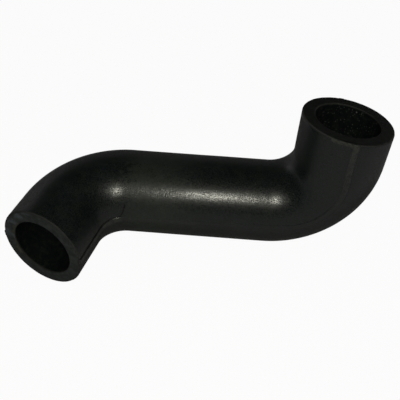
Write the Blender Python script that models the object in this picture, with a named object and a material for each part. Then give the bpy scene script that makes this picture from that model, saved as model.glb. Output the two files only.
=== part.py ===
"""Water pump bypass hose.

One moulded length of thick-walled rubber hose: a straight middle run, a bend at each end
and a short leg after each bend, which is pushed over a spigot and held there by a clamp.
The two bends lie in planes about a right angle apart, so the hose fits only one way round.
The hose lies as it comes to rest, with the middle run along X and the left leg on the
surface, and the right leg standing up.

The wall is swept as two rings of edges, one for the outside and one for the bore. Both are
carried along the same route, step by step, and joined by a flat face at each cut end.
The outside has a raised parting land along both sides, where the halves of the mould met, and a
fine groove along each foot of it.
The land runs along the inner and the outer side of the left bend, and along both flanks of the
right bend. The planes of the two bends aren't quite square to each other, so the section turns a
little as it goes along the middle run.

Units are metres, +Z is up, and the origin is under the middle of the hose.
"""

import math

import bmesh
import bpy
from mathutils import Matrix, Vector

# Section of the hose
BORE_DIAMETER = 0.025
WALL = 0.005
OUTSIDE_RADIUS = BORE_DIAMETER / 2 + WALL
BORE_RADIUS = BORE_DIAMETER / 2

# Route of the centreline, from the left end to the right end
LEFT_LEG = 0.0155
LEFT_BEND_RADIUS = 0.0265
LEFT_BEND_ANGLE = math.radians(75)
MIDDLE_RUN = 0.057
RIGHT_BEND_RADIUS = 0.0262
RIGHT_BEND_ANGLE = math.radians(90)
RIGHT_LEG = 0.0165
# The right leg leans back by this much from a right angle to the left leg
RIGHT_LEG_LEAN = math.radians(5)

# The ends are trimmed by hand and are not quite square to their legs
LEFT_CUT_TO_OUTER_SIDE = math.radians(5.5)
LEFT_CUT_ACROSS_BEND = math.radians(6.5)
RIGHT_CUT_TO_OUTER_SIDE = math.radians(6.5)
RIGHT_CUT_ACROSS_BEND = math.radians(3)
OUTER_LIP_ROUND = 0.0006
BORE_LIP_ROUND = 0.0004

# Parting land: a low flat rib on both sides of the hose, with a fine groove along each foot
LAND_WIDTH = 0.002
LAND_HEIGHT = 0.00035
LAND_FLANK = 0.0003
GROOVE_DEPTH = 0.00022
GROOVE_BANK = 0.0004

# Fineness of the faceted surface
STEPS_BETWEEN_LANDS = 28
BEND_STEP = math.radians(7.5)
MIDDLE_STEPS = 4
LIP_STEPS = 2

RUBBER_COLOUR = (0.012, 0.013, 0.0125, 1.0)
RUBBER_ROUGHNESS = 0.55


def clear_scene():
    for scene_object in list(bpy.data.objects):
        bpy.data.objects.remove(scene_object, do_unlink=True)


def rubber_material():
    material = bpy.data.materials.new("black_rubber")
    material.use_nodes = True
    shader = material.node_tree.nodes["Principled BSDF"]
    shader.inputs["Base Color"].default_value = RUBBER_COLOUR
    shader.inputs["Roughness"].default_value = RUBBER_ROUGHNESS
    shader.inputs["Metallic"].default_value = 0.0
    return material


def land_profile():
    """Angle from the land's middle and radius of each point, from one groove's edge to the other's."""
    shoulder = LAND_WIDTH / 2
    groove_bottom = shoulder + LAND_FLANK
    groove_edge = groove_bottom + GROOVE_BANK
    one_side = [(shoulder, LAND_HEIGHT), (groove_bottom, -GROOVE_DEPTH), (groove_edge, 0.0)]
    other_side = [(-across, height) for across, height in reversed(one_side)]
    profile = other_side + [(0.0, LAND_HEIGHT)] + one_side
    return [(across / OUTSIDE_RADIUS, OUTSIDE_RADIUS + height) for across, height in profile]


def outside_section():
    """Angle and radius of each point round the outside. The angle runs from the top to the front."""
    land = land_profile()
    edge_angle = land[-1][0]
    arc_step = (math.pi - 2 * edge_angle) / STEPS_BETWEEN_LANDS
    section = []
    for land_angle in (math.pi / 2, 3 * math.pi / 2):
        section += [(land_angle + angle, radius) for angle, radius in land]
        for step in range(1, STEPS_BETWEEN_LANDS):
            section.append((land_angle + edge_angle + step * arc_step, OUTSIDE_RADIUS))
    return section


def bore_section():
    """The bore has a point behind each point of the outside, so the end faces are even all round."""
    return [(angle, BORE_RADIUS) for angle, _ in outside_section()]


def add_ring(bm, frame, section):
    """Draws a section as a closed ring of edges, square to the X axis of a frame."""
    verts = []
    for angle, radius in section:
        point = Vector((0.0, -radius * math.sin(angle), radius * math.cos(angle)))
        verts.append(bm.verts.new(frame @ point))
    return [bm.edges.new((vert, verts[index - 1])) for index, vert in enumerate(verts)]


def carry_ring(bm, ring, frame, step):
    """Extrudes a ring by one step of the route, and returns the new ring and its frame."""
    new_frame = frame @ step
    extruded = bmesh.ops.extrude_edge_only(bm, edges=ring)["geom"]
    new_verts = {item for item in extruded if isinstance(item, bmesh.types.BMVert)}
    new_edges = [item for item in extruded if isinstance(item, bmesh.types.BMEdge)]
    new_ring = [edge for edge in new_edges if set(edge.verts) <= new_verts]
    bmesh.ops.transform(bm, matrix=new_frame @ frame.inverted(), verts=list(new_verts))
    return new_ring, new_frame


def straight_steps(length, turn=0.0, count=1):
    """Steps along X that also turn the section a little about the centreline."""
    step = Matrix.Translation((length / count, 0, 0)) @ Matrix.Rotation(turn / count, 4, "X")
    return [step] * count


def bend_steps(radius, angle):
    """Steps round a bend toward the frame's own +Z side."""
    count = max(2, math.ceil(angle / BEND_STEP - 1e-6))
    centre = Matrix.Translation((0, 0, radius))
    step = centre @ Matrix.Rotation(-angle / count, 4, "Y") @ centre.inverted()
    return [step] * count


def slanted_cut(to_outer_side, across_bend):
    """Slides a section along its leg until it lies in the plane of the trimmed end."""
    slide = Matrix.Identity(4)
    slide[0][1] = -math.tan(across_bend)
    slide[0][2] = math.tan(to_outer_side)
    return slide


def lip_steps(radius, rounding, direction):
    """Steps that round the end of a wall: direction -1 draws the ring in, and +1 opens it."""
    steps = []
    last = Matrix.Identity(4)
    for index in range(1, LIP_STEPS + 1):
        angle = index / LIP_STEPS * math.pi / 2
        scale = 1 + direction * rounding * (1 - math.cos(angle)) / radius
        place = Matrix.Translation((rounding * math.sin(angle), 0, 0)) @ Matrix.Diagonal((1, scale, scale, 1))
        steps.append(last.inverted() @ place)
        last = place
    return steps


def leg_steps(length, cut, radius, rounding, direction):
    """A straight leg up to its rounded lip. The cut passes through the end of the centreline."""
    to_lip = Matrix.Translation((length - rounding, 0, 0)) @ cut
    return [to_lip] + lip_steps(radius, rounding, direction)


def sweep_wall(bm, section, radius, rounding, direction):
    """Sweeps one surface of the wall both ways from the left end of the middle run."""
    start = Vector((-MIDDLE_RUN / 2, 0, OUTSIDE_RADIUS))
    rightward = Matrix.Translation(start)
    left_axes = Matrix(((-1, 0, 0), (0, 0, -1), (0, -1, 0))).to_4x4()
    leftward = Matrix.Translation(start) @ left_axes
    left_cut = slanted_cut(LEFT_CUT_TO_OUTER_SIDE, -LEFT_CUT_ACROSS_BEND)
    right_cut = slanted_cut(RIGHT_CUT_TO_OUTER_SIDE, RIGHT_CUT_ACROSS_BEND)

    left_route = bend_steps(LEFT_BEND_RADIUS, LEFT_BEND_ANGLE)
    left_route += leg_steps(LEFT_LEG, left_cut, radius, rounding, direction)
    right_route = straight_steps(MIDDLE_RUN, -RIGHT_LEG_LEAN, MIDDLE_STEPS)
    right_route += bend_steps(RIGHT_BEND_RADIUS, RIGHT_BEND_ANGLE)
    right_route += leg_steps(RIGHT_LEG, right_cut, radius, rounding, direction)

    first_ring = add_ring(bm, rightward, section)
    end_rings = []
    for frame, route in ((leftward, left_route), (rightward, right_route)):
        ring = first_ring
        for step in route:
            ring, frame = carry_ring(bm, ring, frame, step)
        end_rings.append(ring)
    return end_rings


def centre_over_origin(bm):
    """Moves the hose so that the origin is under the middle of its outline, on the surface."""
    low = [min(vert.co[axis] for vert in bm.verts) for axis in range(3)]
    high = [max(vert.co[axis] for vert in bm.verts) for axis in range(3)]
    shift = Vector((-(low[0] + high[0]) / 2, -(low[1] + high[1]) / 2, -low[2]))
    bmesh.ops.translate(bm, verts=bm.verts, vec=shift)


def build_hose(collection):
    bm = bmesh.new()
    outer_ends = sweep_wall(bm, outside_section(), OUTSIDE_RADIUS, OUTER_LIP_ROUND, -1)
    bore_ends = sweep_wall(bm, bore_section(), BORE_RADIUS, BORE_LIP_ROUND, 1)
    for outer_end, bore_end in zip(outer_ends, bore_ends):
        bmesh.ops.triangle_fill(bm, edges=outer_end + bore_end, use_beauty=True)
    centre_over_origin(bm)
    bmesh.ops.recalc_face_normals(bm, faces=bm.faces)

    mesh = bpy.data.meshes.new("bypass_hose")
    bm.to_mesh(mesh)
    bm.free()
    mesh.shade_smooth()
    mesh.set_sharp_from_angle(angle=math.radians(35))
    mesh.materials.append(rubber_material())
    hose = bpy.data.objects.new("bypass_hose", mesh)
    collection.objects.link(hose)
    return hose


def main():
    clear_scene()
    collection = bpy.data.collections.new("water_pump_bypass_hose")
    bpy.context.scene.collection.children.link(collection)
    build_hose(collection)


main()
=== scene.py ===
# %% [markdown]
# # A moulded water pump bypass hose
#
# A bypass hose carries coolant between two stub pipes on an engine while the thermostat is shut.
# It is one piece of thick black rubber, cured over a bent former inside a two-part mould.
# That leaves the marks this lesson is about: smooth bends, a low flat rib where the halves of
# the mould met, ends trimmed by hand, and a dusty, slightly blotchy skin.
#
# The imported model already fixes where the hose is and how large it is.
# So the first step only opens it, and keeps its box to compare the finished skin with.

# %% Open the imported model
import math

import bmesh
import bpy
from mathutils import Matrix, Vector, noise


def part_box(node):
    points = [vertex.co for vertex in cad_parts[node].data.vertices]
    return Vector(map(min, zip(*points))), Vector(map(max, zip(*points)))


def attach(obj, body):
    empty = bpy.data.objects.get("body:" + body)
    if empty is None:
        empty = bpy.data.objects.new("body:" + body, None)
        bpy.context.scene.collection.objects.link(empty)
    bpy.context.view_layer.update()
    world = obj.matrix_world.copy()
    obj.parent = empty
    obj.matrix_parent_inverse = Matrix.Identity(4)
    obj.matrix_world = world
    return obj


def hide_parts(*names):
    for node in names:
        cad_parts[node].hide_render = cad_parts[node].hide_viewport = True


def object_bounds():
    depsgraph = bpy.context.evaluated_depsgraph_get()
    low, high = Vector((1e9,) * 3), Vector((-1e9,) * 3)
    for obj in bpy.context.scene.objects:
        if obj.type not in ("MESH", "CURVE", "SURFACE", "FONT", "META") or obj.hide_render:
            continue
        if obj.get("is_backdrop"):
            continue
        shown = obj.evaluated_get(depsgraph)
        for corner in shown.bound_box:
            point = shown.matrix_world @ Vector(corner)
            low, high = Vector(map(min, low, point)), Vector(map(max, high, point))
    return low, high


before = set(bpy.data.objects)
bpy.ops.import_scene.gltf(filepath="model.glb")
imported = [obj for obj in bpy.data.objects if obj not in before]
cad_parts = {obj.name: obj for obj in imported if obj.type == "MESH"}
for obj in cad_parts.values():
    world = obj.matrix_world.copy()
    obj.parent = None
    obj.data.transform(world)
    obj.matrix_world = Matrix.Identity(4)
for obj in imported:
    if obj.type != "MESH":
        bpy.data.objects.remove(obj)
cad_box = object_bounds()
hose_low, hose_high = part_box("bypass_hose")
print("solid hose from", [round(c, 4) for c in hose_low], "to", [round(c, 4) for c in hose_high])

# %% [markdown]
# ## Sizes
#
# A hose is ordered by its bore, its wall and its route, so these are the sizes to name first.
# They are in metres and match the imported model. Everything after this cell is worked out from them.

# %% Sizes of the hose
BORE_RADIUS = 0.0125
WALL = 0.005
OUTSIDE_RADIUS = BORE_RADIUS + WALL

LEFT_LEG = 0.0155
LEFT_BEND_RADIUS = 0.0265
LEFT_BEND_ANGLE = math.radians(75)
MIDDLE_RUN = 0.057
RIGHT_BEND_RADIUS = 0.0262
RIGHT_BEND_ANGLE = math.radians(90)
RIGHT_LEG = 0.0165
RIGHT_LEG_LEAN = math.radians(5)

LEFT_CUT = (math.radians(5.5), math.radians(-6.5))
RIGHT_CUT = (math.radians(6.5), math.radians(3))
OUTER_LIP = 0.0006
BORE_LIP = 0.0004

LEFT_BEND_LENGTH = LEFT_BEND_RADIUS * LEFT_BEND_ANGLE
RIGHT_BEND_LENGTH = RIGHT_BEND_RADIUS * RIGHT_BEND_ANGLE
print("outside", 2000 * OUTSIDE_RADIUS, "mm, bore", 2000 * BORE_RADIUS, "mm")

# %% [markdown]
# ## The route, as a list of stations
#
# The hose could be a curve with a bevel, but a curve can't slant its cut ends or turn its section.
# Instead the route is a list of stations. A station is a matrix whose X axis points along the hose
# and whose origin is on the centreline. Each bend turns toward the station's own +Z side.
# The step from one station to the next is a small matrix, so a straight or a bend is that one step
# repeated. The mould rib runs along the inner side of the left bend and along the flank of the right
# bend. The two bends aren't quite square to each other, so on the middle run the step also turns the
# section a little.

# %% Steps of the route
ROW_LENGTH = 0.0012
ROW_TURN = math.radians(1.5)


def straight_steps(length, turn):
    rows = math.ceil(length / ROW_LENGTH)
    step = Matrix.Translation((length / rows, 0, 0)) @ Matrix.Rotation(turn / rows, 4, "X")
    return [step] * rows


def bend_steps(radius, angle):
    rows = math.ceil(angle / ROW_TURN)
    to_centre = Matrix.Translation((0, 0, radius))
    return [to_centre @ Matrix.Rotation(-angle / rows, 4, "Y") @ to_centre.inverted()] * rows


def follow(start, steps):
    stations = [start]
    for step in steps:
        stations.append(stations[-1] @ step)
    return stations


# %% [markdown]
# ## Legs with slanted ends
#
# The ends were trimmed with a knife and aren't square. Sliding each point along the leg, by an
# amount that grows across the section, tilts the ring into the plane of the cut. The slide grows
# from nothing at the bend to its full amount at the mouth, so the rows of faces stay even.

# %% Stations of a leg
def slide_to_cut(cut, share):
    slide = Matrix.Identity(4)
    slide[0][1] = -math.tan(cut[1]) * share
    slide[0][2] = math.tan(cut[0]) * share
    return slide


def leg_stations(bend_end, length, cut):
    to_lip = length - OUTER_LIP
    rows = math.ceil(to_lip / ROW_LENGTH)
    return [bend_end @ Matrix.Translation((to_lip * row / rows, 0, 0)) @ slide_to_cut(cut, row / rows)
            for row in range(1, rows + 1)]


# %% [markdown]
# ## Where the route lies
#
# The middle run lies along X, one radius above the surface, and each half of the route starts at
# its left end. One half goes on to the left and the other to the right. The whole skin is moved
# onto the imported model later, by its box, so nothing here is placed by eye.

# %% Stations of both halves
middle_start = Matrix.Translation((-MIDDLE_RUN / 2, 0, OUTSIDE_RADIUS))
face_left = Matrix(((-1, 0, 0), (0, 0, -1), (0, -1, 0))).to_4x4()

right_half = follow(middle_start, straight_steps(MIDDLE_RUN, -RIGHT_LEG_LEAN)
                    + bend_steps(RIGHT_BEND_RADIUS, RIGHT_BEND_ANGLE))
right_half += leg_stations(right_half[-1], RIGHT_LEG, RIGHT_CUT)
left_half = follow(middle_start @ face_left, bend_steps(LEFT_BEND_RADIUS, LEFT_BEND_ANGLE))
left_half += leg_stations(left_half[-1], LEFT_LEG, LEFT_CUT)
right_leg_axis = (right_half[-1].to_3x3() @ Vector((1, 0, 0))).normalized()
print("stations:", len(left_half), "to the left and", len(right_half), "to the right")

# %% [markdown]
# ## Over the lip and back down the bore
#
# At a mouth the skin turns over the outer lip, crosses the cut face, turns over the bore lip and
# runs back down the bore. If every ring is the same circle in a different place, all of that is one
# long list of places: a station, moved a little along the leg and scaled about the centreline.
# Two such lists, one for each half, close the whole skin when their last rings meet in the bore.
# The bore shows little, so it takes only every third station, after one ring just behind the lip
# that keeps the finish of the lip from running on into the bore.

# %% Places of the rings
LIP_ROWS = 4
FACE_ROWS = 12
BORE_STRIDE = 3
BEHIND_LIP = 0.0004


def ring_place(station, along, radius):
    scale = radius / OUTSIDE_RADIUS
    return station @ Matrix.Translation((along, 0, 0)) @ Matrix.Diagonal((1, scale, scale, 1))


def mouth_places(station):
    places = []
    for row in range(1, LIP_ROWS + 1):
        angle = row / LIP_ROWS * math.pi / 2
        inward = OUTER_LIP * (1 - math.cos(angle))
        places.append(ring_place(station, OUTER_LIP * math.sin(angle), OUTSIDE_RADIUS - inward))
    face_outer, face_inner = OUTSIDE_RADIUS - OUTER_LIP, BORE_RADIUS + BORE_LIP
    for row in range(1, FACE_ROWS + 1):
        radius = face_outer + (face_inner - face_outer) * row / FACE_ROWS
        places.append(ring_place(station, OUTER_LIP, radius))
    for row in range(1, LIP_ROWS + 1):
        angle = row / LIP_ROWS * math.pi / 2
        back = BORE_LIP * (1 - math.cos(angle))
        places.append(ring_place(station, OUTER_LIP - back, face_inner - BORE_LIP * math.sin(angle)))
    return places


def half_places(stations):
    outside = [ring_place(station, 0, OUTSIDE_RADIUS) for station in stations]
    bore = [ring_place(stations[-1], -BEHIND_LIP, BORE_RADIUS)]
    bore += [ring_place(station, 0, BORE_RADIUS) for station in reversed(stations[:-2:BORE_STRIDE])]
    return outside, mouth_places(stations[-1]), bore


# %% [markdown]
# ## The first ring
#
# `create_circle` draws the section. The rib is narrow beside the hose, so the edges near it are cut
# finer, and the new points are pushed back out to the circle. Each point also keeps its angle round
# the hose in a layer. Extruding copies that layer, so every later point still knows where it is.
# The angle runs from the top of the middle run (0) to its front (90 degrees) and on underneath.

# %% Draw the first ring
RING_POINTS = 96
FINE_CUTS = 5
FRONT_RIB = math.pi / 2
BACK_RIB = 3 * math.pi / 2
FINE_ZONES = ((math.radians(56), math.radians(106)), (math.radians(260), math.radians(280)))


def angle_round(point):
    """Angle from the top of the hose toward its front, for a point in a station's own axes."""
    return math.atan2(-point.y, point.z) % (2 * math.pi)


def in_fine_zone(vert):
    return any(low < angle_round(vert.co) < high for low, high in FINE_ZONES)


def first_ring(bm, station, around):
    flat_to_section = Matrix.Rotation(math.pi / 2, 4, "Y")
    bmesh.ops.create_circle(bm, cap_ends=False, radius=OUTSIDE_RADIUS, segments=RING_POINTS,
                            matrix=flat_to_section)
    near_rib = [edge for edge in bm.edges if any(in_fine_zone(vert) for vert in edge.verts)]
    bmesh.ops.subdivide_edges(bm, edges=near_rib, cuts=FINE_CUTS)
    for vert in bm.verts:
        vert[around] = angle_round(vert.co)
        vert.co = station @ (vert.co.normalized() * OUTSIDE_RADIUS)
    return list(bm.edges)


# %% [markdown]
# ## Sweep the skin
#
# One extrude per place: the ring is extruded where it stands, and the new ring is carried to the
# next place by one matrix. The number of the ring goes into a second layer, and a note of its
# middle, its kind and its distance along the hose into a list, which the relief needs afterwards.
# `spin` could do the bends alone, but a matrix does the bends, the turning section, the slanted
# ends and the lips alike.

# %% Extrude from place to place
SAME_POINT = 0.00001
bm = bmesh.new()
around_layer = bm.verts.layers.float.new("around")
ring_layer = bm.verts.layers.int.new("ring")
rings = []


def note_ring(verts, middle, kind, along):
    for vert in verts:
        vert[ring_layer] = len(rings)
    rings.append((middle, kind, along))


def carry(ring, old_place, new_place):
    made = bmesh.ops.extrude_edge_only(bm, edges=ring)["geom"]
    verts = [item for item in made if isinstance(item, bmesh.types.BMVert)]
    fresh = set(verts)
    edges = [item for item in made if isinstance(item, bmesh.types.BMEdge) and set(item.verts) <= fresh]
    bmesh.ops.transform(bm, matrix=new_place @ old_place.inverted(), verts=verts)
    return edges, verts


def sweep_half(ring, stations, direction):
    outside, mouth, bore = half_places(stations)
    last_place = outside[0]
    along = -MIDDLE_RUN / 2
    for kind, places in (("outside", outside[1:]), ("mouth", mouth), ("bore", bore)):
        for place in places:
            ring, verts = carry(ring, last_place, place)
            if kind == "outside":
                along += direction * (place.translation - last_place.translation).length
            note_ring(verts, place.translation, kind, along)
            last_place = place


start_ring = first_ring(bm, middle_start, around_layer)
note_ring(list(bm.verts), middle_start.translation, "outside", -MIDDLE_RUN / 2)
for stations, direction in ((left_half, -1), (right_half, 1)):
    sweep_half(start_ring, stations, direction)
bmesh.ops.remove_doubles(bm, verts=bm.verts, dist=SAME_POINT)
print("rings", len(rings), "points", len(bm.verts), "open edges", sum(e.is_boundary for e in bm.edges))

# %% [markdown]
# ## Move the skin onto the model
#
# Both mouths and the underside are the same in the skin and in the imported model, so they line the
# two up. Along X the skin is centred. Along Y its front and along Z its underside are matched.

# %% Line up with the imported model
low = [min(vert.co[axis] for vert in bm.verts) for axis in range(3)]
high = [max(vert.co[axis] for vert in bm.verts) for axis in range(3)]
to_middle = (hose_low[0] + hose_high[0] - low[0] - high[0]) / 2
shift = Vector((to_middle, hose_low[1] - low[1], hose_low[2] - low[2]))
bmesh.ops.translate(bm, verts=bm.verts, vec=shift)
rings = [(middle + shift, kind, along) for middle, kind, along in rings]
print("moved by", [round(c * 1000, 3) for c in shift], "mm")

# %% [markdown]
# ## The rib, its grooves and the crease
#
# The rib stands about a third of a millimetre proud. It is plain on the legs and worn low on the
# middle run. A fine groove lies along each foot of it. Shapes this small would need thousands of
# hand-placed edges, so they are written as functions of two numbers that every point has: its
# distance along the hose and its angle round it. `ease` turns a straight 0 to 1 into a soft step.

# %% Sizes of the rib and its grooves
RIB_WIDTH = 0.002
RIB_HEIGHT = 0.00032
RIB_FLANK = 0.0003
GROOVE_DEPTH = 0.0003
GROOVE_REACH = 0.00022
FOOT = RIB_WIDTH / 2 + RIB_FLANK
PROUD_LEFT = 0.3 * LEFT_BEND_LENGTH
PROUD_RIGHT = 0.8 * LEFT_BEND_LENGTH


def ease(value):
    value = min(1.0, max(0.0, value))
    return value * value * (3 - 2 * value)


def past_middle(along):
    """Distance past the end of the middle run, toward the nearer mouth."""
    return abs(along) - MIDDLE_RUN / 2


def toward_end(along):
    """0 on the middle run and 1 well into a bend, where the rib has its full height."""
    return ease(past_middle(along) / (PROUD_LEFT if along < 0 else PROUD_RIGHT))


def rib_share(across):
    """1 on the flat top of a rib and 0 past its flanks."""
    return 1 - ease((abs(across) - RIB_WIDTH / 2) / RIB_FLANK)


def groove_share(from_groove, reach=GROOVE_REACH):
    """1 at the bottom of a groove, falling away to both sides."""
    return math.exp(-(from_groove / reach) ** 2)


# %% [markdown]
# ## Where the rib and the crease run
#
# The front rib wanders a few degrees, because the halves of a mould never close quite evenly: it
# lies a little high on the middle run, sinks in the right bend and comes back on the right leg.
# Where the left bend starts, the upper groove leaves the rib and climbs the hose as a crease.

# %% Paths of the front rib and the crease
RIB_ON_RUN = math.radians(-2.5)
RIB_IN_BEND = math.radians(7.5)
RIB_ON_LEG = math.radians(-4.0)
SINKS_OVER = 0.55 * RIGHT_BEND_LENGTH
TURNS_BACK = 0.6 * RIGHT_BEND_LENGTH
BACK_OVER = 1.5 * RIGHT_LEG
CREASE_LENGTH = 0.0085
CREASE_CLIMB = math.radians(23)
CREASE_CURVE = 2.3


def rib_angle(along):
    """Angle of the front rib's middle."""
    past_run = along - MIDDLE_RUN / 2
    in_bend = RIB_IN_BEND * ease(past_run / SINKS_OVER)
    on_leg = RIB_ON_LEG * ease((past_run - TURNS_BACK) / BACK_OVER)
    return FRONT_RIB + RIB_ON_RUN + in_bend + on_leg


def crease_climb(along):
    """How far the upper groove has climbed away from the left rib, and how much of it is left."""
    share = past_middle(along) / CREASE_LENGTH
    if along > 0 or share > 1:
        return 0.0, 1.0
    if share < 0:
        return CREASE_CLIMB, 0.0
    return CREASE_CLIMB * (1 - share) ** CREASE_CURVE, ease(0.3 + share * 3)


# %% [markdown]
# ## The relief at a point
#
# Each side of the hose has its own relief. On the left leg the upper groove of the front rib is
# deep, and it widens where the crease runs at a slant, so that the rows of points can't miss it.
# The back rib is plain. Both ribs are rubbed pale wherever they stand proud, but the paleness
# nearly dies away between the right leg and the middle of the run.

# %% Relief of both ribs
WORN_FRONT = 0.3
WORN_BACK = 0.4
BACK_GAIN = 0.5
CREASE_SLANT = 5
LOWER_GROOVE_LEFT = 0.35
UPPER_GROOVE_RIGHT = 0.15
LOWER_GROOVE_RIGHT = 0.5
BACK_GROOVES = 0.35
RUBBED_ON_RUN = 0.1
RUBBED_OVER = 1.8 * RIGHT_LEG


def front_relief(along, around):
    """Share of the rib's height and of the grooves' depth at a point near the front rib."""
    across = (around - rib_angle(along)) * OUTSIDE_RADIUS
    end_share = toward_end(along)
    rib = (WORN_FRONT + (1 - WORN_FRONT) * end_share) * rib_share(across)
    climb, crease_left = crease_climb(along)
    slant = 1 + CREASE_SLANT * climb / CREASE_CLIMB
    upper = groove_share(across + FOOT + climb * OUTSIDE_RADIUS, GROOVE_REACH * slant)
    lower = groove_share(across - FOOT)
    if along < 0:
        return rib, upper * crease_left + lower * LOWER_GROOVE_LEFT * end_share
    return rib, (upper * UPPER_GROOVE_RIGHT + lower * LOWER_GROOVE_RIGHT) * end_share


def back_relief(along, around):
    across = (around - BACK_RIB) * OUTSIDE_RADIUS
    end_share = toward_end(along)
    rib = (WORN_BACK + BACK_GAIN * end_share) * rib_share(across)
    return rib, groove_share(abs(across) - FOOT) * BACK_GROOVES * end_share


def rubbed_share(along):
    """How much of the rib's pale rubbing shows: it dies away from the right leg into its bend."""
    if along < 0:
        return 1.0
    onto_leg = ease((along - MIDDLE_RUN / 2 - TURNS_BACK) / RUBBED_OVER)
    return RUBBED_ON_RUN + (1 - RUBBED_ON_RUN) * onto_leg


for name, along in (("left leg", -0.07), ("middle run", 0.0), ("right leg", 0.08)):
    print("front rib on the", name, "at", round(math.degrees(rib_angle(along)), 1), "degrees,",
          round(1000 * RIB_HEIGHT * front_relief(along, rib_angle(along))[0], 2), "mm proud")

# %% [markdown]
# ## The trimmed lips
#
# The knife left the lips a little frayed. In front of the right mouth, beside the rib, a strip of the
# lip is cut away lower, with a step at each end, and is painted paler, partly as frayed rubber and
# partly as a painted highlight on the cut. A mask along the lip gives the place of that cut, and the
# points there are pushed back along the leg.

# %% Masks of the lips
LOW_CUT_FROM = math.radians(60)
LOW_CUT_TO = math.radians(91)
LOW_CUT_ENDS = 0.03
LOW_CUT_DEPTH = 0.00045
LOW_CUT_REACH = 0.0008
EDGE_BAND = WALL * 0.2


def edge_share(reach):
    """1 at the outside of the wall and 0 from a fifth of the wall inward."""
    return ease((reach - OUTSIDE_RADIUS + EDGE_BAND) / EDGE_BAND)


def low_cut(along, around, reach):
    """Share of the low cut beside the right rib: full at the lip, nothing inside the wall."""
    if along < MIDDLE_RUN / 2 + RIGHT_BEND_LENGTH:
        return 0.0
    to_lip = RIGHT_LEG - OUTER_LIP + MIDDLE_RUN / 2 + RIGHT_BEND_LENGTH - along
    ends = ease((around - LOW_CUT_FROM) / LOW_CUT_ENDS) * ease((LOW_CUT_TO - around) / LOW_CUT_ENDS)
    inward = ease((reach - OUTSIDE_RADIUS + LOW_CUT_REACH) / LOW_CUT_REACH)
    return ends * inward * ease(1 - to_lip / ROW_LENGTH)


# %% [markdown]
# ## Masks for the finishes
#
# The materials need to know where the rib is rubbed, where the grooves get painted shade, and where the
# lips are worn and painted with a highlight. Each of these is kept as a layer of the points, which
# becomes an attribute of the mesh.
# The outer lip and the edge of the bore get theirs by their distance from the middle of the ring.
# At the worn end of the left mouth the mask of the bore's edge is up to five times as wide, in patches.

# %% Layers of the masks
WORN_FROM = -0.0635
WORN_FADE = 0.004
WORN_WAVES = 420
WORN_SPREAD = 4.0
LIP_MASK = 1.2 * OUTER_LIP
MASKS = ("rubbed", "groove", "lip", "bore_edge", "low_cut")
masks = {name: bm.verts.layers.float.new(name) for name in MASKS}


def mark_lips(vert, reach):
    vert[masks["lip"]] = ease((reach - OUTSIDE_RADIUS + LIP_MASK) / OUTER_LIP)
    patches = ease(0.5 + 2 * noise.noise(vert.co * WORN_WAVES))
    worn = ease((WORN_FROM - vert.co.x) / WORN_FADE) * patches
    spread = (1.0 + WORN_SPREAD * worn) * BORE_LIP
    vert[masks["bore_edge"]] = ease((BORE_RADIUS + spread - reach) / BORE_LIP)


# %% [markdown]
# ## Press the relief into the skin
#
# Every point moves straight out from the middle of its ring by the rib and straight in by the
# grooves. Moulded rubber is also never quite even, so a slow noise sinks the skin by a few
# hundredths of a millimetre, and a quick one frays the lips.

# %% Press in the relief
SLOW_WAVES = 70
SLOW_SINK = 0.00007
FRAY_WAVES = 900
FRAY_DEPTH = 0.0002


def press_in(vert, middle, kind, along):
    around = vert[around_layer]
    spoke = vert.co - middle
    reach, outward = spoke.length, spoke.normalized()
    sink = SLOW_SINK * (0.5 + 0.5 * noise.noise(vert.co * SLOW_WAVES))
    if kind == "bore":
        vert.co += outward * sink
        return
    rim = edge_share(reach)
    rib, groove = front_relief(along, around) if around < math.pi else back_relief(along, around)
    lift = rib * RIB_HEIGHT - groove * GROOVE_DEPTH
    if kind == "mouth":
        lift += min(0.0, noise.noise(vert.co * FRAY_WAVES)) * FRAY_DEPTH
    cut = low_cut(along, around, reach)
    vert.co += outward * (lift * rim - sink) - right_leg_axis * cut * LOW_CUT_DEPTH
    vert[masks["rubbed"]] = rib * rim * rubbed_share(along)
    # The groove share is also kept as the mask of painted shade in the grooves and the crease.
    vert[masks["groove"]] = groove * rim
    vert[masks["low_cut"]] = cut
    if kind == "mouth":
        mark_lips(vert, reach)


for vert in bm.verts:
    press_in(vert, *rings[vert[ring_layer]])
print("points on the rubbed rib:", sum(vert[masks["rubbed"]] > 0.5 for vert in bm.verts))

# %% [markdown]
# ## Three finishes on one skin
#
# The moulded skin, the cut faces and the bore look different, so each face takes one of three
# material slots. A face with a point in the bore goes to the bore. One with all its points in a
# mouth goes to the cut, unless it lies on the outer lip, which keeps the finish of the skin.

# %% Slots of the faces
SKIN, CUT, BORE = 0, 1, 2
CUT_REACH = OUTSIDE_RADIUS - 0.7 * OUTER_LIP
BORE_REACH = BORE_RADIUS + 0.3 * BORE_LIP


def slot_of(face):
    kinds = {rings[vert[ring_layer]][1] for vert in face.verts}
    reach = min((vert.co - rings[vert[ring_layer]][0]).length for vert in face.verts)
    if "bore" in kinds or ("mouth" in kinds and reach < BORE_REACH):
        return BORE
    if kinds == {"mouth"} and reach < CUT_REACH:
        return CUT
    return SKIN


for face in bm.faces:
    face.material_index = slot_of(face)
    face.smooth = True
bmesh.ops.recalc_face_normals(bm, faces=bm.faces)
print("volume", round(bm.calc_volume() * 1e6, 1), "cm3")

# %% [markdown]
# ## From bmesh to object
#
# The bmesh is written to a mesh once, when its shape is done, and the object stays at the origin
# with no turn or scale of its own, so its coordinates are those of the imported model. An extrude may
# hand its points back in another order on another run, so all of them are put in order first: the
# points by ring and angle, and then the edges and faces by their points.

# %% Make the skin object
def by_points(element):
    """A number for an edge or a face that no other one has, from its first and last point."""
    indices = [vert.index for vert in element.verts]
    return max(indices) * len(bm.verts) + min(indices)


bm.verts.sort(key=lambda vert: vert[ring_layer] * 2 * math.pi + vert[around_layer])
bm.verts.index_update()
bm.edges.sort(key=by_points)
bm.faces.sort(key=by_points)

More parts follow.
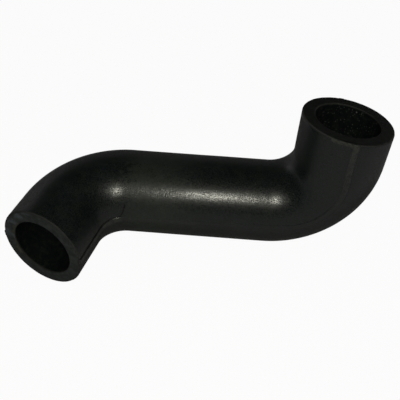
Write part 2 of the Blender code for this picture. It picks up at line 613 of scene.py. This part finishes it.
hose_mesh = bpy.data.meshes.new("hose_skin")
bm.to_mesh(hose_mesh)
bm.free()
hose = bpy.data.objects.new("hose_skin", hose_mesh)
bpy.context.scene.collection.objects.link(hose)
print("triangles", sum(len(p.vertices) - 2 for p in hose_mesh.polygons))

# %% [markdown]
# ## Building materials from nodes
#
# Every finish here is made from noises in Object coordinates, which are metres, so a noise scale
# of 1000 has features about a millimetre across. Small helpers keep the node code readable. Each
# adds one node to the tree and gives back its output, so helpers can be put inside one another.

# %% Helpers for noises, ranges and sums
def start_material(name):
    material = bpy.data.materials.new(name)
    material.use_nodes = True
    return material, material.node_tree


def add_noise(tree, where, scale, detail, roughness):
    texture = tree.nodes.new("ShaderNodeTexNoise")
    texture.inputs["Scale"].default_value = scale
    texture.inputs["Detail"].default_value = detail
    texture.inputs["Roughness"].default_value = roughness
    tree.links.new(where, texture.inputs["Vector"])
    return texture.outputs["Fac"]


def add_range(tree, value, low_in, high_in, low_out=0.0, high_out=1.0):
    span = tree.nodes.new("ShaderNodeMapRange")
    span.interpolation_type = "SMOOTHSTEP"
    ends = {"From Min": low_in, "From Max": high_in, "To Min": low_out, "To Max": high_out}
    for socket, number in ends.items():
        span.inputs[socket].default_value = number
    tree.links.new(value, span.inputs["Value"])
    return span.outputs["Result"]


def add_math(tree, operation, first, second):
    step = tree.nodes.new("ShaderNodeMath")
    step.operation = operation
    for socket, value in zip(step.inputs, (first, second)):
        if isinstance(value, float):
            socket.default_value = value
        else:
            tree.links.new(value, socket)
    return step.outputs["Value"]


def multiply(tree, first, second):
    return add_math(tree, "MULTIPLY", first, second)


# %% [markdown]
# ## Colours, bumps and coordinates
#
# A mix of two colours takes either a plain colour or the output of another node on each side, so
# layers of dirt can be laid over one another in a row. Bumps are stacked in the same way.

# %% Helpers for colours, bumps and coordinates
def add_mix(tree, share, first, second):
    mix = tree.nodes.new("ShaderNodeMix")
    mix.data_type = "RGBA"
    tree.links.new(share, mix.inputs["Factor"])
    for socket, colour in (("A", first), ("B", second)):
        place = [entry for entry in mix.inputs if entry.name == socket and entry.type == "RGBA"][0]
        if isinstance(colour, tuple):
            place.default_value = (*colour, 1.0)
        else:
            tree.links.new(colour, place)
    return [entry for entry in mix.outputs if entry.type == "RGBA"][0]


def add_bump(tree, height, distance, strength, below=None):
    bump = tree.nodes.new("ShaderNodeBump")
    bump.inputs["Distance"].default_value = distance
    bump.inputs["Strength"].default_value = strength
    tree.links.new(height, bump.inputs["Height"])
    if below is not None:
        tree.links.new(below, bump.inputs["Normal"])
    return bump.outputs["Normal"]


def add_attribute(tree, name):
    attribute = tree.nodes.new("ShaderNodeAttribute")
    attribute.attribute_name = name
    return attribute.outputs["Fac"]


def object_axes(tree):
    """Object coordinates, as a vector and as separate X, Y and Z outputs."""
    where = tree.nodes.new("ShaderNodeTexCoord").outputs["Object"]
    axes = tree.nodes.new("ShaderNodeSeparateXYZ")
    tree.links.new(where, axes.inputs[0])
    return where, axes.outputs


def set_surface(material, colour, roughness, specular, normal):
    """Links a finish to its shader. The specular level is a plain value, as every format keeps that."""
    tree = material.node_tree
    shader = tree.nodes["Principled BSDF"]
    tree.links.new(colour, shader.inputs["Base Color"])
    tree.links.new(roughness, shader.inputs["Roughness"])
    tree.links.new(normal, shader.inputs["Normal"])
    shader.inputs["Specular IOR Level"].default_value = specular
    shader.distribution = "GGX"


# %% [markdown]
# ## Dust and specks
#
# At a low angle any smooth skin turns into a mirror, but dust hides that mirror on old rubber, so
# the roughness rises toward the rim of the hose, and once more on its underside. Crumbs and grit
# are small round specks. A Voronoi texture has one cell for each, and its random colour decides
# which cells keep their speck and how pale it is.

# %% Helpers for dust and specks
RIM_DUST = 0.36
UNDERSIDE_DUST = 0.3


def dull_at_grazing(tree, roughness):
    facing = tree.nodes.new("ShaderNodeLayerWeight").outputs["Facing"]
    at_rim = add_range(tree, facing, 0.2, 0.7, 0.0, RIM_DUST)
    upward = tree.nodes.new("ShaderNodeSeparateXYZ")
    tree.links.new(tree.nodes.new("ShaderNodeNewGeometry").outputs["Normal"], upward.inputs[0])
    dusty = add_range(tree, upward.outputs["Z"], -0.1, 0.4, 0.7, 1.0)
    dull = add_math(tree, "ADD", roughness, multiply(tree, at_rim, dusty))
    underneath = add_range(tree, upward.outputs["Z"], -0.1, 0.15, UNDERSIDE_DUST, 0.0)
    return add_math(tree, "ADD", dull, underneath)


def add_specks(tree, where, scale, kept_share, radius):
    """Small round specks: the middles of Voronoi cells, in the share of cells that is kept."""
    cells = tree.nodes.new("ShaderNodeTexVoronoi")
    cells.inputs["Scale"].default_value = scale
    tree.links.new(where, cells.inputs["Vector"])
    near_middle = add_range(tree, cells.outputs["Distance"], radius * 0.6, radius, 1.0, 0.0)
    chosen = tree.nodes.new("ShaderNodeSeparateColor")
    tree.links.new(cells.outputs["Color"], chosen.inputs["Color"])
    kept = add_math(tree, "GREATER_THAN", chosen.outputs["Red"], 1.0 - kept_share)
    return multiply(tree, near_middle, multiply(tree, kept, chosen.outputs["Green"]))


# %% [markdown]
# ## Colours of the moulded skin
#
# The skin is almost black, with a faint green-grey cast. Handling leaves it blotchy: some patches keep a
# bluish bloom and some look olive, and a lighter colour is painted low down near the surface that the
# hose rests on, partly dust and partly a painted reflection of the pale floor.
# The left part of the middle run keeps a paler film, and the right leg is painted darker than the rest,
# with fewer bloom and olive patches. The rib is rubbed paler, the grooves and the crease get painted
# shade, and a few pale bits of grit stick to the skin. Each of these is one more colour mixed over what
# is there already.

# %% Colour of the skin
BARE_BLACK = (0.0008, 0.0019, 0.0017)
PALE_FILM = (0.0054, 0.0076, 0.0052)
BLUISH_BLOOM = (0.0030, 0.0044, 0.0048)
OLIVE = (0.0032, 0.0046, 0.0026)
# Partly dust and partly a painted reflection of the pale floor, low on the hose.
LOW_DUST_AND_REFLECTION = (0.0150, 0.0146, 0.0132)
RUBBED = (0.0105, 0.0108, 0.0092)
# Paler lips: partly wear and partly a painted highlight on the rounded lip.
WORN_LIP_AND_HIGHLIGHT = (0.0060, 0.0064, 0.0056)
# Partly frayed rubber and partly a painted highlight on the low cut.
FRAYED_CUT_AND_HIGHLIGHT = (0.011, 0.011, 0.009)
# Painted shade for the grooves and the crease.
GROOVE_PAINTED_SHADE = (0.0005, 0.0006, 0.0005)
GRIT = (0.03, 0.03, 0.026)


def film_share(tree, axes, mottle):
    """Where the pale film lies along X, with an uneven edge."""
    edge = add_math(tree, "ADD", axes["X"], add_range(tree, mottle, 0.3, 0.7, -0.004, 0.004))
    return multiply(tree, add_range(tree, edge, -0.032, -0.022),
                    add_range(tree, edge, -0.016, 0.006, 1.0, 0.0))


def moulded_colour(tree, where, axes, mottle, film):
    # Bloom and olive patches fade to a third on the right leg, so the right leg is painted darker than
    # the rest.
    less_on_right_leg = add_range(tree, axes["X"], 0.032, 0.044, 1.0, 0.3)
    blotches = add_range(tree, add_noise(tree, where, 95, 5.0, 0.62), 0.38, 0.66)
    bloom = multiply(tree, multiply(tree, blotches, add_range(tree, mottle, 0.3, 0.7)), less_on_right_leg)
    olive = add_range(tree, add_noise(tree, where, 260, 4.0, 0.7), 0.44, 0.62, 0.0, 0.55)
    low_down = add_range(tree, axes["Z"], 0.004, 0.014, 1.0, 0.0)
    rubbed = multiply(tree, add_attribute(tree, "rubbed"), add_range(tree, mottle, 0.36, 0.58, 0.2, 0.9))
    # The low cut is painted paler: partly fray, partly a painted highlight.
    frayed_and_highlight = multiply(tree, add_attribute(tree, "low_cut"), add_range(tree, mottle, 0.35, 0.6, 0.1, 1.0))
    colour = add_mix(tree, film, BARE_BLACK, PALE_FILM)
    for share, layer in ((bloom, BLUISH_BLOOM),
                         (multiply(tree, olive, less_on_right_leg), OLIVE),
                         # Lighter towards the bottom: partly dust, partly a painted reflection of the
                         # floor.
                         (multiply(tree, low_down, add_range(tree, mottle, 0.25, 0.7)), LOW_DUST_AND_REFLECTION),
                         (rubbed, RUBBED),
                         # The lips are painted paler, partly as wear and partly as a painted highlight.
                         (add_attribute(tree, "lip"), WORN_LIP_AND_HIGHLIGHT),
                         (frayed_and_highlight, FRAYED_CUT_AND_HIGHLIGHT),
                         # Painted shade: the grooves and the crease are darkened.
                         (add_attribute(tree, "groove"), GROOVE_PAINTED_SHADE),
                         (add_specks(tree, where, 330, 0.05, 0.10), GRIT)):
        colour = add_mix(tree, share, colour, layer)
    return colour


# %% [markdown]
# ## Moulded rubber
#
# The gloss matters more than the colour here. A fine grain mixes glossy flecks with rough ground,
# which gives a sharp streak inside a soft haze, and a slow unevenness makes its edge wander. The
# film has a little less gloss, the right leg a little more, and the frayed lips hardly any.

# %% Skin material
SKIN_SPECULAR = 0.29
FRAYED_ROUGHNESS = 0.85


def moulded_rubber():
    material, tree = start_material("moulded_rubber")
    where, axes = object_axes(tree)
    mottle = add_noise(tree, where, 620, 4.0, 0.65)
    film = film_share(tree, axes, mottle)
    colour = moulded_colour(tree, where, axes, mottle, film)

    grain = add_noise(tree, where, 3200, 2.5, 0.6)
    lowered = add_math(tree, "ADD", grain, add_range(tree, film, 0.0, 1.0, 0.0, -0.08))
    dull = add_range(tree, lowered, 0.27, 0.57, 0.74, 0.25)
    polished = add_range(tree, axes["X"], 0.032, 0.040, 0.0, -0.06)
    dull = add_math(tree, "ADD", dull, polished)
    frayed_lip = add_math(tree, "MAXIMUM", add_attribute(tree, "lip"), add_attribute(tree, "low_cut"))
    dull = add_math(tree, "MAXIMUM", dull, multiply(tree, frayed_lip, FRAYED_ROUGHNESS))

    waves = add_bump(tree, add_noise(tree, where, 380, 1.0, 0.5), 0.0001, 0.5)
    normal = add_bump(tree, grain, 0.00008, 0.4, waves)
    set_surface(material, colour, dull_at_grazing(tree, dull), SKIN_SPECULAR, normal)
    return material


# %% [markdown]
# ## Cut rubber
#
# A knife cut opens the rubber. The left face is painted lighter, partly as chalk and partly as painted
# light, and its worn end has pale smears and a brown, frayed edge to the bore. The right face is black.
# Both have a thin light ring painted along the edge of the bore, partly rubbed wear and partly a painted
# highlight on the lip of the bore.

# %% Colour of the cut faces
# The left face's pale colours: partly chalk and partly painted light.
CHALKY_AND_PAINTED_LIGHT = ((0.0064, 0.0080, 0.0076), (0.0140, 0.0162, 0.0162))
CUT_BLACK = ((0.0001, 0.0006, 0.0003), (0.0016, 0.0032, 0.0018))
CHALK_SMEARS = (0.026, 0.031, 0.034)
# A light ring along the edge of the bore: partly rubbed wear and partly a painted highlight.
BORE_EDGE_WEAR_AND_HIGHLIGHT = (0.0110, 0.0118, 0.0100)
BROWN_EDGE = (0.022, 0.020, 0.015)


def cut_colour(tree, where, axes):
    blotches = add_range(tree, add_noise(tree, where, 420, 5.0, 0.7), 0.36, 0.66)
    left_mouth = add_range(tree, axes["X"], -0.02, 0.02, 1.0, 0.0)
    worn_end = multiply(tree, add_range(tree, axes["X"], -0.0625, -0.0575, 1.0, 0.0),
                        add_range(tree, axes["Z"], 0.014, 0.020))
    smears = add_range(tree, add_noise(tree, where, 300, 4.0, 0.6), 0.44, 0.60, 0.0, 0.85)
    bore_edge = add_attribute(tree, "bore_edge")
    brown = multiply(tree, add_range(tree, axes["X"], -0.066, -0.0635, 1.0, 0.0), bore_edge)
    brown = multiply(tree, brown, add_range(tree, blotches, 0.1, 0.9, 0.3, 1.0))
    # The left mouth takes the paler colours, partly chalk and partly painted light.
    black, chalky_and_lit = add_mix(tree, blotches, *CUT_BLACK), add_mix(tree, blotches, *CHALKY_AND_PAINTED_LIGHT)
    colour = add_mix(tree, left_mouth, black, chalky_and_lit)
    for share, layer in ((multiply(tree, worn_end, smears), CHALK_SMEARS),
                         # Partly wear and partly a painted highlight on the lip of the bore.
                         (bore_edge, BORE_EDGE_WEAR_AND_HIGHLIGHT),
                         (brown, BROWN_EDGE),
                         # The lips are painted paler, partly as wear and partly as a painted highlight.
                         (add_attribute(tree, "lip"), WORN_LIP_AND_HIGHLIGHT)):
        colour = add_mix(tree, share, colour, layer)
    return colour


# %% [markdown]
# ## Gloss of the cut
#
# A cut is duller than the moulded skin, and the knife leaves faint parallel drag marks. A wave
# texture draws them, with some distortion so that they don't look ruled.

# %% Cut face material
CUT_SPECULAR = 0.11
DRAG_WAVES = 420


def drag_marks(tree, where):
    drag = tree.nodes.new("ShaderNodeTexWave")
    drag.bands_direction = "DIAGONAL"
    drag.inputs["Scale"].default_value = DRAG_WAVES
    drag.inputs["Distortion"].default_value = 3.0
    drag.inputs["Detail"].default_value = 3.0
    tree.links.new(where, drag.inputs["Vector"])
    return add_bump(tree, drag.outputs["Fac"], 0.00005, 0.35)


def cut_rubber():
    material, tree = start_material("cut_rubber")
    where, axes = object_axes(tree)
    grain = add_noise(tree, where, 2600, 3.0, 0.6)
    dull = add_range(tree, grain, 0.2, 0.8, 0.48, 0.62)
    worn = multiply(tree, add_attribute(tree, "lip"), FRAYED_ROUGHNESS)
    dull = dull_at_grazing(tree, add_math(tree, "MAXIMUM", dull, worn))
    normal = add_bump(tree, grain, 0.00008, 0.6, drag_marks(tree, where))
    set_surface(material, cut_colour(tree, where, axes), dull, CUT_SPECULAR, normal)
    return material


# %% [markdown]
# ## The bore
#
# The bore was against the former. It is black and mottled, and holds fine dust and a few crumbs.
# Most of it lies in the right leg, which stands open to the air, so a mask along X keeps it there.

# %% Bore material
BORE_MOTTLE = ((0.0012, 0.0020, 0.0021), (0.0038, 0.0050, 0.0038))
FINE_DUST = (0.040, 0.043, 0.038)
CRUMBS = (0.09, 0.09, 0.08)
BORE_SPECULAR = 0.06


def bore_rubber():
    material, tree = start_material("bore_rubber")
    where, axes = object_axes(tree)
    mottle = add_noise(tree, where, 420, 5.0, 0.65)
    right_leg = add_range(tree, axes["X"], 0.0, 0.03, 0.12, 1.0)
    colour = add_mix(tree, add_range(tree, mottle, 0.45, 0.7), *BORE_MOTTLE)
    fine_dust = multiply(tree, add_specks(tree, where, 1500, 0.35, 0.35), right_leg)
    crumbs = multiply(tree, add_specks(tree, where, 520, 0.06, 0.16), right_leg)
    for share, layer in ((fine_dust, FINE_DUST), (crumbs, CRUMBS),
                         # Partly wear and partly a painted highlight on the lip of the bore.
                         (add_attribute(tree, "bore_edge"), BORE_EDGE_WEAR_AND_HIGHLIGHT)):
        colour = add_mix(tree, share, colour, layer)
    dull = add_range(tree, mottle, 0.25, 0.75, 0.6, 0.75)
    set_surface(material, colour, dull, BORE_SPECULAR, add_bump(tree, mottle, 0.0001, 0.5))
    return material


for make in (moulded_rubber, cut_rubber, bore_rubber):
    hose_mesh.materials.append(make())
print("finishes:", [material.name for material in hose_mesh.materials])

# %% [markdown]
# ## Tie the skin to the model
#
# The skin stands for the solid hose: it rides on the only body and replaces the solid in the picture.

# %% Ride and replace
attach(hose, "root")
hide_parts("bypass_hose")

# %% [markdown]
# ## The white around the hose
#
# Black rubber shows little of its own colour. What the eye reads is what its skin reflects, so the
# surroundings matter more than the paint. More light would make the white around the hose whiter,
# but it would also turn the rubber grey. A Light Path node avoids that: it tells the rays of the
# camera, and those that are reflected or pass through glass, from the rays that light the hose.

# %% Helpers for what each kind of ray sees
def seen_and_reflected(tree):
    """Two masks: 1 for rays from the camera, and 1 for rays from reflections and through glass."""
    path = tree.nodes.new("ShaderNodeLightPath")
    glossy, through_glass = path.outputs["Is Glossy Ray"], path.outputs["Is Transmission Ray"]
    return path.outputs["Is Camera Ray"], add_math(tree, "MAXIMUM", glossy, through_glass)


def mix_shaders(tree, share, first, second):
    mix = tree.nodes.new("ShaderNodeMixShader")
    for socket, value in zip(mix.inputs, (share, first, second)):
        tree.links.new(value, socket)
    return mix.outputs[0]


# %% [markdown]
# ## The floor
#
# The floor is pale and takes the shadow of the hose. The camera sees it with a large share of white
# glow added, and reflections and glass with a small one, so that the underside mirrors a floor that
# is really lit and shaded. It lies a tenth of a millimetre low, so that it never cuts the skin.

# %% Floor
WHITE = 1.0
WHITE_SHARE = 0.95
MIRRORED_SHARE = 0.1
FLOOR_HALF = 2.5
FLOOR_DROP = 0.0001
FLOOR_GREY = (0.32, 0.32, 0.32, 1.0)
FLOOR_ROUGHNESS = 0.9

floor_bm = bmesh.new()
bmesh.ops.create_grid(floor_bm, x_segments=1, y_segments=1, size=FLOOR_HALF)
floor_mesh = bpy.data.meshes.new("floor")
floor_bm.to_mesh(floor_mesh)
floor_bm.free()
floor = bpy.data.objects.new("floor", floor_mesh)
floor.location = (0, 0, -FLOOR_DROP)
bpy.context.scene.collection.objects.link(floor)
floor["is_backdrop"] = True

floor_material, tree = start_material("pale_floor")
paint = tree.nodes["Principled BSDF"]
paint.inputs["Base Color"].default_value = FLOOR_GREY
paint.inputs["Roughness"].default_value = FLOOR_ROUGHNESS
glow = tree.nodes.new("ShaderNodeEmission")
glow.inputs["Strength"].default_value = WHITE
seen, reflected = seen_and_reflected(tree)
white_share = add_math(tree, "MAXIMUM", multiply(tree, seen, WHITE_SHARE),
                       multiply(tree, reflected, MIRRORED_SHARE))
floor_look = mix_shaders(tree, white_share, paint.outputs[0], glow.outputs[0])
tree.links.new(floor_look, tree.nodes["Material Output"].inputs["Surface"])
floor_mesh.materials.append(floor_material)
print("floor", 2 * FLOOR_HALF, "m wide, at", 1000 * floor.location.z, "mm")

# %% [markdown]
# ## The backdrop and the ceiling
#
# The backdrop is white for the camera. Above the horizon its reflection fades into a dim ceiling,
# which is what the top of the hose and the right mouth mirror, so they stay black. All other rays
# get the plain light of the room.

# %% Backdrop and ceiling
FADE_FROM = 0.0
FADE_TO = 0.08
CEILING = 0.02
ROOM = 0.6


def add_background(tree, strength):
    background = tree.nodes.new("ShaderNodeBackground")
    background.inputs["Color"].default_value = (1.0, 1.0, 1.0, 1.0)
    background.inputs["Strength"].default_value = strength
    return background.outputs[0]


world = bpy.data.worlds.new("studio")
bpy.context.scene.world = world
world.use_nodes = True
tree = world.node_tree
direction = tree.nodes.new("ShaderNodeSeparateXYZ")
tree.links.new(tree.nodes.new("ShaderNodeTexCoord").outputs["Generated"], direction.inputs[0])
overhead = add_range(tree, direction.outputs["Z"], FADE_FROM, FADE_TO)
mirrored = mix_shaders(tree, overhead, add_background(tree, WHITE), add_background(tree, CEILING))
seen, reflected = seen_and_reflected(tree)
studio = mix_shaders(tree, reflected, add_background(tree, ROOM), mirrored)
studio = mix_shaders(tree, seen, studio, add_background(tree, WHITE))
tree.links.new(studio, tree.nodes["World Output"].inputs["Surface"])
print("room light", ROOM, "and mirrored ceiling", CEILING)

# %% [markdown]
# ## The camera
#
# The camera is close, a hand's breadth above the hose, which is why the right leg looks larger than
# the left. Its place and tilt were found by matching the outline and both mouths of the hose.

# %% Set up the camera
CAMERA_PLACE = Vector((0.00695, -0.143305, 0.176395))
CAMERA_LOOK = Vector((-0.021636, 0.687164, -0.72618))
CAMERA_UP = Vector((-0.073342, 0.723302, 0.686626))
FOCAL_PIXELS = 512.5
FRAME_PIXELS = 400
SENSOR_WIDTH = 36.0
NEAREST_SEEN = 0.01


def looking(place, look, up):
    back = -look.normalized()
    side = up.cross(back).normalized()
    axes = Matrix((side, back.cross(side), back)).transposed()
    return Matrix.Translation(place) @ axes.to_4x4()


camera_data = bpy.data.cameras.new("camera")
camera_data.sensor_width = SENSOR_WIDTH
camera_data.lens = SENSOR_WIDTH * FOCAL_PIXELS / FRAME_PIXELS
camera_data.clip_start = NEAREST_SEEN
camera = bpy.data.objects.new("camera", camera_data)
camera.matrix_world = looking(CAMERA_PLACE, CAMERA_LOOK, CAMERA_UP)
bpy.context.scene.collection.objects.link(camera)
bpy.context.scene.camera = camera
print("lens", round(camera_data.lens, 2), "mm")

# %% [markdown]
# ## The lamps
#
# The hose was lit by a flash at the camera, so one small lamp stands just behind the camera. Its
# reflection is the narrow streak along the middle run and the round spot on the left bend, and the
# rough share of the skin spreads it into the haze round both. Two weak panels stand far out behind
# the hose at either side, where they shape its back and leave the front nearly as the flash lit it.

# %% Lamps
FLASH_SIZE = (0.03, 0.02)
PANEL_SIZE = (0.14, 0.08)
FLASH_TARGET = (0.005, -0.003, 0.03)
PANEL_TARGET = (0.0, 0.0, 0.03)
FLASH_COLOUR = (1.0, 0.99, 0.86)
PANEL_COLOUR = (1.0, 1.0, 1.0)


def add_lamp(name, place, target, size, power, colour):
    data = bpy.data.lights.new(name, "AREA")
    data.shape = "RECTANGLE"
    data.size, data.size_y = size
    data.energy = power
    data.color = colour
    lamp = bpy.data.objects.new(name, data)
    lamp.matrix_world = looking(Vector(place), Vector(target) - Vector(place), Vector((0, 0, 1)))
    bpy.context.scene.collection.objects.link(lamp)


add_lamp("streak_lamp", (0.0105, -0.175, 0.2115), FLASH_TARGET, FLASH_SIZE, 0.52, FLASH_COLOUR)
add_lamp("back_left_panel", (-0.36, 0.30, 0.07), PANEL_TARGET, PANEL_SIZE, 0.07, PANEL_COLOUR)
add_lamp("back_right_panel", (0.36, 0.30, 0.05), PANEL_TARGET, PANEL_SIZE, 0.17, PANEL_COLOUR)

# %% [markdown]
# ## Finish
#
# The view transform is Standard, so a colour renders as it is written. The two boxes are printed, to
# compare the skin with the imported model.

# %% Finish
bpy.context.scene.view_settings.view_transform = "Standard"
visual_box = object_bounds()
sizes = {"cad": [list(corner) for corner in cad_box], "visual": [list(corner) for corner in visual_box]}
for name, (low_corner, high_corner) in sizes.items():
    print(name, [round(c * 1000, 3) for c in low_corner], [round(c * 1000, 3) for c in high_corner])
